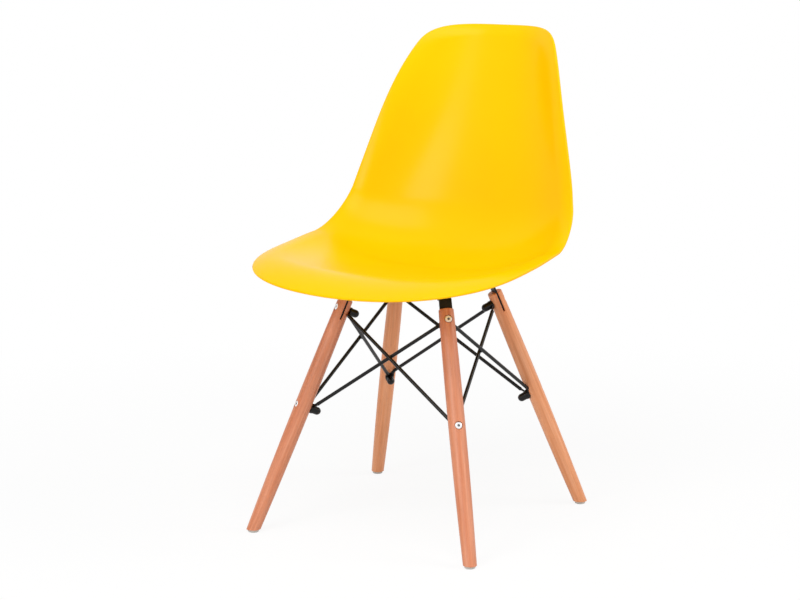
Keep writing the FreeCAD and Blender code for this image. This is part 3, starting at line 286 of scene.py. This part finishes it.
HALF_WIDTH = smooth_curve([
    (0.0, 228.2), (220.0, 238.8), (400.0, 225.0), (SHELL_LENGTH - 316.0, 212.2),
    (SHELL_LENGTH - 246.0, 194.8), (SHELL_LENGTH - 146.0, 166.3), (SHELL_LENGTH - 66.0, 138.5),
    (SHELL_LENGTH, 108.0),
])
SIDE_RISE = smooth_curve([
    (0.0, 19.3), (100.0, 23.3), (220.0, 40.8), (310.0, 58.2), (400.0, 67.1),
    (SHELL_LENGTH - 306.0, 64.3), (SHELL_LENGTH - 166.0, 72.8), (SHELL_LENGTH - 66.0, 62.7),
    (SHELL_LENGTH, 43.4),
])
HOLLOW = smooth_curve([(0.0, 1.7), (300.0, 2.9), (SHELL_LENGTH - 246.0, 2.55), (SHELL_LENGTH, 2.85)])
HOLLOW_SOFTNESS = 0.08
# Corners: a fullness of 2 is an ellipse, 3 is squarer; their sizes across and along; the rim's drop and width
CORNER_FULLNESS = 3.1
FRONT_CORNER = (225.0, 194.5)
TOP_CORNER = (106.5, 61.2)
SIDE_RIM = (12.4, 32.0)
FRONT_RIM = (32.0, 88.0)
TOP_RIM = (8.5, 27.2)


def rim_drop(across, along):
    """How far the turned-out rim falls: a parabola that starts a rim's width inside the edge."""
    front = along < SHELL_LENGTH / 2.0
    corner_across = np.where(front, FRONT_CORNER[0], TOP_CORNER[0])
    corner_along = np.where(front, FRONT_CORNER[1], TOP_CORNER[1])
    end_drop = np.where(front, FRONT_RIM[0], TOP_RIM[0])
    end_width = np.where(front, FRONT_RIM[1], TOP_RIM[1]) / corner_along
    to_end = np.where(front, along, SHELL_LENGTH - along)
    reach_across = np.maximum(1.0 - (HALF_WIDTH(along) - np.abs(across)) / corner_across, 0.0)
    reach_along = np.maximum(1.0 - to_end / corner_along, 0.0)
    reach = (reach_across**CORNER_FULLNESS + reach_along**CORNER_FULLNESS) ** (1.0 / CORNER_FULLNESS)
    end_share = (reach_along / np.maximum(reach, 1e-9)) ** 2
    width = (1.0 - end_share) * SIDE_RIM[1] / corner_across + end_share * end_width
    drop = (1.0 - end_share) * SIDE_RIM[0] + end_share * end_drop
    return drop * np.maximum(1.0 - (1.0 - reach) / width, 0.0) ** 2


def sitter_face(across, along):
    """Points of the sitter's face: the centre line, raised to the sides and dropped at the rim."""
    angle = SEAT_TURN + np.clip(along - SEAT_STRAIGHT, 0.0, FOLD_LENGTH) / FOLD_RADIUS
    on_seat = np.minimum(along, SEAT_STRAIGHT)
    on_back = np.maximum(along - SEAT_STRAIGHT - FOLD_LENGTH, 0.0)
    y = SHELL_FRONT + math.cos(SEAT_TURN) * on_seat + np.cos(angle) * on_back
    z = SEAT_FRONT_HEIGHT + math.sin(SEAT_TURN) * on_seat + np.sin(angle) * on_back
    y += FOLD_RADIUS * (np.sin(angle) - math.sin(SEAT_TURN))
    z += FOLD_RADIUS * (math.cos(SEAT_TURN) - np.cos(angle))
    steepness = HOLLOW(along)
    softened = np.hypot(across / HALF_WIDTH(along), HOLLOW_SOFTNESS) ** steepness
    rise = SIDE_RISE(along) * (softened - HOLLOW_SOFTNESS**steepness) - rim_drop(across, along)
    return np.stack([across, y - np.sin(angle) * rise, z + np.cos(angle) * rise], -1)


def unit(vectors):
    """Vectors at length one."""
    return vectors / np.linalg.norm(vectors, axis=-1, keepdims=True)


# Half the length, in millimetres, over which the face's slope is measured
SLOPE_STEP = 0.05


def face_normal(across, along):
    """The sitter's side of the face, from small steps each way."""
    over = sitter_face(across + SLOPE_STEP, along) - sitter_face(across - SLOPE_STEP, along)
    up = sitter_face(across, along + SLOPE_STEP) - sitter_face(across, along - SLOPE_STEP)
    return unit(np.cross(over, up))


FRONT_STEPS = 8
FRONT_CORNER_STEPS = 40
SIDE_STEPS = 84
TOP_CORNER_STEPS = 26
TOP_STEPS = 6


def outline():
    """Half the outline from the middle of the front edge round to the middle of the top edge."""
    def corner(steps, size, end_side):
        turn = np.linspace(0.0, math.pi / 2.0, steps, endpoint=False)
        power = 2.0 / CORNER_FULLNESS
        inset = size[1] * (1.0 - np.cos(turn) ** power)
        along = inset if end_side == "front" else SHELL_LENGTH - inset
        return HALF_WIDTH(along) - size[0] * (1.0 - np.sin(turn) ** power), along

    front_across = np.linspace(0.0, HALF_WIDTH(0.0) - FRONT_CORNER[0], FRONT_STEPS, endpoint=False)
    corner_front = corner(FRONT_CORNER_STEPS, FRONT_CORNER, "front")
    side_along = np.linspace(FRONT_CORNER[1], SHELL_LENGTH - TOP_CORNER[1], SIDE_STEPS)
    corner_top = [part[::-1] for part in corner(TOP_CORNER_STEPS, TOP_CORNER, "top")]
    top_across = np.linspace(HALF_WIDTH(SHELL_LENGTH) - TOP_CORNER[0], 0.0, TOP_STEPS)[1:]
    across = np.concatenate([
        front_across, corner_front[0], HALF_WIDTH(side_along), corner_top[0], top_across])
    along = np.concatenate([
        np.zeros(len(front_across)), corner_front[1], side_along, corner_top[1],
        np.full(len(top_across), SHELL_LENGTH)])
    return across, along


# Rings from the centre line to the rim, closer near the rim; the centre line stops short of both ends
RINGS = 44
RING_BIAS = 1.5
RIM_STEPS = 10
SPINE_START = 120.0
SPINE_END = 70.0


def shell_grid():
    """The whole skin as one closed strip: rings out from the centre line, a half-round rim, rings back.

    A point between is (1 - r) of its place on the centre line plus r of its place on the outline.
    """
    half_across, half_along = outline()
    across = np.concatenate([half_across, -half_across[-2:0:-1]])
    along = np.concatenate([half_along, half_along[-2:0:-1]])
    steps = [np.roll(part, -1) - np.roll(part, 1) for part in (across, along)]
    run = unit(np.stack(steps, -1))
    edge_across = across - run[:, 1] * WALL / 2.0
    edge_along = along + run[:, 0] * WALL / 2.0
    spine = SPINE_START + (SHELL_LENGTH - SPINE_END - SPINE_START) * along / SHELL_LENGTH
    ring = 1.0 - (1.0 - np.linspace(0.0, 1.0, RINGS)[:, None]) ** RING_BIAS
    flat_across = ring * edge_across
    flat_along = (1.0 - ring) * spine + ring * edge_along
    face = sitter_face(flat_across, flat_along)
    normal = face_normal(flat_across, flat_along)
    outward = sitter_face(across, along) - face[-1]
    outward = unit(outward - normal[-1] * np.sum(outward * normal[-1], -1, keepdims=True))
    turn = np.linspace(0.0, math.pi, RIM_STEPS + 1)[1:-1, None, None]
    middle = face[-1] - normal[-1] * WALL / 2.0
    rim = middle + WALL / 2.0 * (np.cos(turn) * normal[-1] + np.sin(turn) * outward)
    back = (face - normal * WALL)[::-1]
    points = np.concatenate([face, rim, back])
    return points * MM, grid_faces(points.shape[0], points.shape[1], closed_columns=True)


BOSS_RADIUS = 15.0
BOSS_EDGE = 0.8
BOSS_FLARE = 3.0
INSERT_RADIUS = 4.3
INSERT_POCKET = 8.5
BOSS_COLUMNS = 72
SETTLE_STEPS = 8


def outer_height(x, y):
    """Height of the shell's outer face at a place, found by stepping until the face's point stands there."""
    across, along = x, y - SHELL_FRONT
    for _ in range(SETTLE_STEPS):
        point = sitter_face(across, along) - face_normal(across, along) * WALL
        across = across + x - point[..., 0]
        along = along + y - point[..., 1]
    return point[..., 2]


def boss_grid(middle, foot):
    """A moulded boss turned about an upright axis: insert pocket, flat foot, rounded edge, post, flare.

    The flare is a quarter circle that ends inside the shell's wall, so its top follows the shell.
    """
    turn = np.linspace(0.0, 2.0 * math.pi, BOSS_COLUMNS, endpoint=False)
    quarter = np.linspace(0.0, math.pi / 2.0, 6)
    pocket = [(0.0, INSERT_POCKET), (INSERT_RADIUS, INSERT_POCKET), (INSERT_RADIUS, 0.0)]
    edge = [(BOSS_RADIUS - BOSS_EDGE * (1.0 - math.sin(q)), BOSS_EDGE * (1.0 - math.cos(q)))
            for q in quarter]
    flare = [(BOSS_RADIUS + BOSS_FLARE * (1.0 - math.cos(q)), BOSS_FLARE * (math.sin(q) - 1.0))
             for q in quarter]
    rings = []
    for radius, height in pocket + edge + flare + [(BOSS_RADIUS + BOSS_FLARE, WALL / 2.0)]:
        x = middle[0] + radius * np.cos(turn)
        y = middle[1] + radius * np.sin(turn)
        on_shell = len(rings) >= len(pocket) + len(edge)
        z = outer_height(x, y) + height if on_shell else np.full_like(turn, foot + height)
        rings.append(np.stack([x, y, z], -1))
    points = np.array(rings)
    return points * MM, grid_faces(points.shape[0], points.shape[1], closed_columns=True)


def shell_bosses():
    """The four bosses stand on the shock mounts, so their places and feet are read from those nodes."""
    grids = []
    for corner in CORNERS:
        low, high = (np.array(end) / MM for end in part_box("shock_mount_" + corner))
        grids.append(boss_grid((low + high) / 2.0, high[2]))
    return grids


shell_plastic = shell_polypropylene()
piece_from("seat_shell_skin", [shell_grid()], shell_plastic, ["seat_shell"])
piece_from("seat_shell_bosses", shell_bosses(), shell_plastic, ["seat_shell"],
           sharp_degrees=50)

# CAD nodes keep their shapes and take these finishes
black_bar = coated_steel("powder_coated_bar", "#060505", 0.48, 0.7)
black_rod = coated_steel("enamelled_rod", "#050404", 0.34, 1.5)
black_nut = coated_steel("black_cap_nut", "#060606", 0.30, 1.0)
bolt_zinc = plated_metal("bright_zinc_bolt", "#EDEDEE", 0.34)
screw_zinc = plated_metal("bright_zinc_screw", "#C9C9C5", 0.34)
insert_brass = plated_metal("turned_brass", "#D8B66A", 0.34)
nail_steel = plated_metal("drawn_nail_steel", "#8C8C8A", 0.45)
rubber = plain_moulding("moulded_rubber", "#161616", 0.75, 0.8)
nylon = plain_moulding("moulded_nylon", "#D2D2CC", 0.50, 0.8)

# Two points on a leg's axis, in millimetres from the middle of the base
LEG_TOP = (94.1, 87.5, 386.0)
LEG_FOOT = (204.8, 211.6, 0.0)


def leg_axis(corner):
    """The direction up a leg, from its foot to its top."""
    side, end = CORNERS[corner]
    rise = np.subtract(LEG_TOP, LEG_FOOT) * (side, end, 1)
    return Vector(rise).normalized()


NODE_FINISHES = {
    "frame_diagonal_bar": black_bar, "frame_arm_front_right": black_bar, "frame_arm_rear_left": black_bar,
    "frame_welds": black_bar, "brace_welds": black_rod,
    "leg_bolts_upper": bolt_zinc, "leg_bolts_lower": bolt_zinc,
    "cap_nuts_upper": black_nut, "cap_nuts_lower": black_nut,
    "mount_screws": screw_zinc, "mount_washers": screw_zinc,
    "shell_threaded_inserts": insert_brass, "glide_nails": nail_steel,
}
for corner in CORNERS:
    turn = Vector((0, 0, 1)).rotation_difference(leg_axis(corner)).to_euler()
    NODE_FINISHES["leg_" + corner] = beech(corner, turn)
    NODE_FINISHES["shock_mount_" + corner] = rubber
    NODE_FINISHES["glide_" + corner] = nylon
for face in ("front", "rear", "left", "right"):
    for layer in ("outer", "inner"):
        NODE_FINISHES["brace_rod_%s_%s" % (face, layer)] = black_rod
for node_name, finish in NODE_FINISHES.items():
    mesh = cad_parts[node_name].data
    mesh.materials.clear()
    mesh.materials.append(finish)


# Floor, light and camera

def seen_rays(tree):
    """One for camera, gloss and clear-through rays, nought for the rest."""
    rays = add(tree, "LightPath")
    seen = add(tree, "Math", {0: rays.outputs["Is Camera Ray"], 1: rays.outputs["Is Glossy Ray"]},
               operation="MAXIMUM")
    return add(tree, "Math", {0: seen.outputs["Value"], 1: rays.outputs["Is Transmission Ray"]},
               operation="MAXIMUM").outputs["Value"]


# The floor's share of plain white by the chair, and the distances in metres over which it rises to one
NEAR_WHITE = 0.9
WHITE_FROM = 0.5
WHITE_TO = 1.6
FLOOR_HALF = 30.0


def white_share(tree):
    """The floor's share of plain white for the rays that see it; it grows away from the chair."""
    place = add(tree, "TexCoord").outputs["Object"]
    away = add(tree, "VectorMath", {0: place}, operation="LENGTH")
    white = add(tree, "MapRange", {"Value": away.outputs["Value"], "From Min": WHITE_FROM,
                                   "From Max": WHITE_TO, "To Min": NEAR_WHITE, "To Max": 1.0},
                interpolation_type="SMOOTHSTEP")
    return add(tree, "Math", {0: seen_rays(tree), 1: white.outputs["Result"]},
               operation="MULTIPLY").outputs["Value"]


def floor_sheet():
    """A pale floor that keeps the chair's shadow near its feet and meets the white background far off."""
    material, tree, shader = finish_named("pale_floor", Roughness=0.9, Specular_IOR_Level=0.0)
    shader.inputs["Base Color"].default_value = linear("#EDEDED")
    glow = add(tree, "Emission", {"Color": (1, 1, 1, 1), "Strength": 1.0})
    both = add(tree, "MixShader", {0: white_share(tree), 1: shader.outputs["BSDF"],
                                   2: glow.outputs["Emission"]})
    tree.links.new(both.outputs["Shader"], tree.nodes["Material Output"].inputs["Surface"])
    corners = [(-1, -1), (1, -1), (1, 1), (-1, 1)]
    mesh = bpy.data.meshes.new("floor")
    mesh.from_pydata([(FLOOR_HALF * x, FLOOR_HALF * y, 0) for x, y in corners], [], [(0, 1, 2, 3)])
    mesh.materials.append(material)
    floor = bpy.data.objects.new("floor", mesh)
    bpy.context.scene.collection.objects.link(floor)


CAMERA_PLACE = Vector((1.7329, -3.2149, 1.0809))
CAMERA_WAY = Vector((-0.4766, 0.8583, -0.1900)).normalized()
LENS_MM = 99.2
SENSOR_MM = 36.0


def place_camera():
    """The camera solved from the photograph, with no roll and no shift."""
    data = bpy.data.cameras.new("camera")
    data.lens, data.sensor_width = LENS_MM, SENSOR_MM
    camera = bpy.data.objects.new("camera", data)
    camera.location = CAMERA_PLACE
    camera.rotation_mode = "QUATERNION"
    camera.rotation_quaternion = CAMERA_WAY.to_track_quat("-Z", "Y")
    bpy.context.scene.collection.objects.link(camera)
    bpy.context.scene.camera = camera


# The lamps aim at the chair's middle; the world gives this level to rays that don't see it
TARGET = Vector((0.0, 0.0, 0.42))
SOFT_LEVEL = 0.36


def softbox(name, azimuth, elevation, distance, width, height, power):
    """A rectangular lamp aimed at the chair; azimuth runs from the camera towards the picture's right."""
    back = -CAMERA_WAY
    heading = math.atan2(back.x, -back.y) + math.radians(azimuth)
    lift = math.radians(elevation)
    way = Vector((math.sin(heading) * math.cos(lift), -math.cos(heading) * math.cos(lift), math.sin(lift)))
    data = bpy.data.lights.new(name, "AREA")
    data.shape, data.size, data.size_y, data.energy = "RECTANGLE", width, height, power
    lamp = bpy.data.objects.new(name, data)
    lamp.location = TARGET + way * distance
    lamp.rotation_mode = "QUATERNION"
    lamp.rotation_quaternion = (-way).to_track_quat("-Z", "Y")
    bpy.context.scene.collection.objects.link(lamp)


def light_room():
    """White all round for the camera and for gloss, a plain soft level for everything else."""
    world = bpy.data.worlds.new("studio")
    bpy.context.scene.world = world
    world.use_nodes = True
    tree = world.node_tree
    strength = add(tree, "MapRange", {"Value": seen_rays(tree), "To Min": SOFT_LEVEL, "To Max": 1.0})
    tree.links.new(strength.outputs["Result"], tree.nodes["Background"].inputs["Strength"])
    tree.nodes["Background"].inputs["Color"].default_value = (1, 1, 1, 1)
    softbox("key_right", 78, 34, 3.4, 1.6, 1.6, 46)
    softbox("front", -15, 62, 3.2, 2.4, 2.0, 66)
    softbox("fill_left", -36, 24, 3.6, 1.4, 1.0, 40)


floor_sheet()
place_camera()
light_room()
bpy.context.scene.view_settings.view_transform = "Standard"
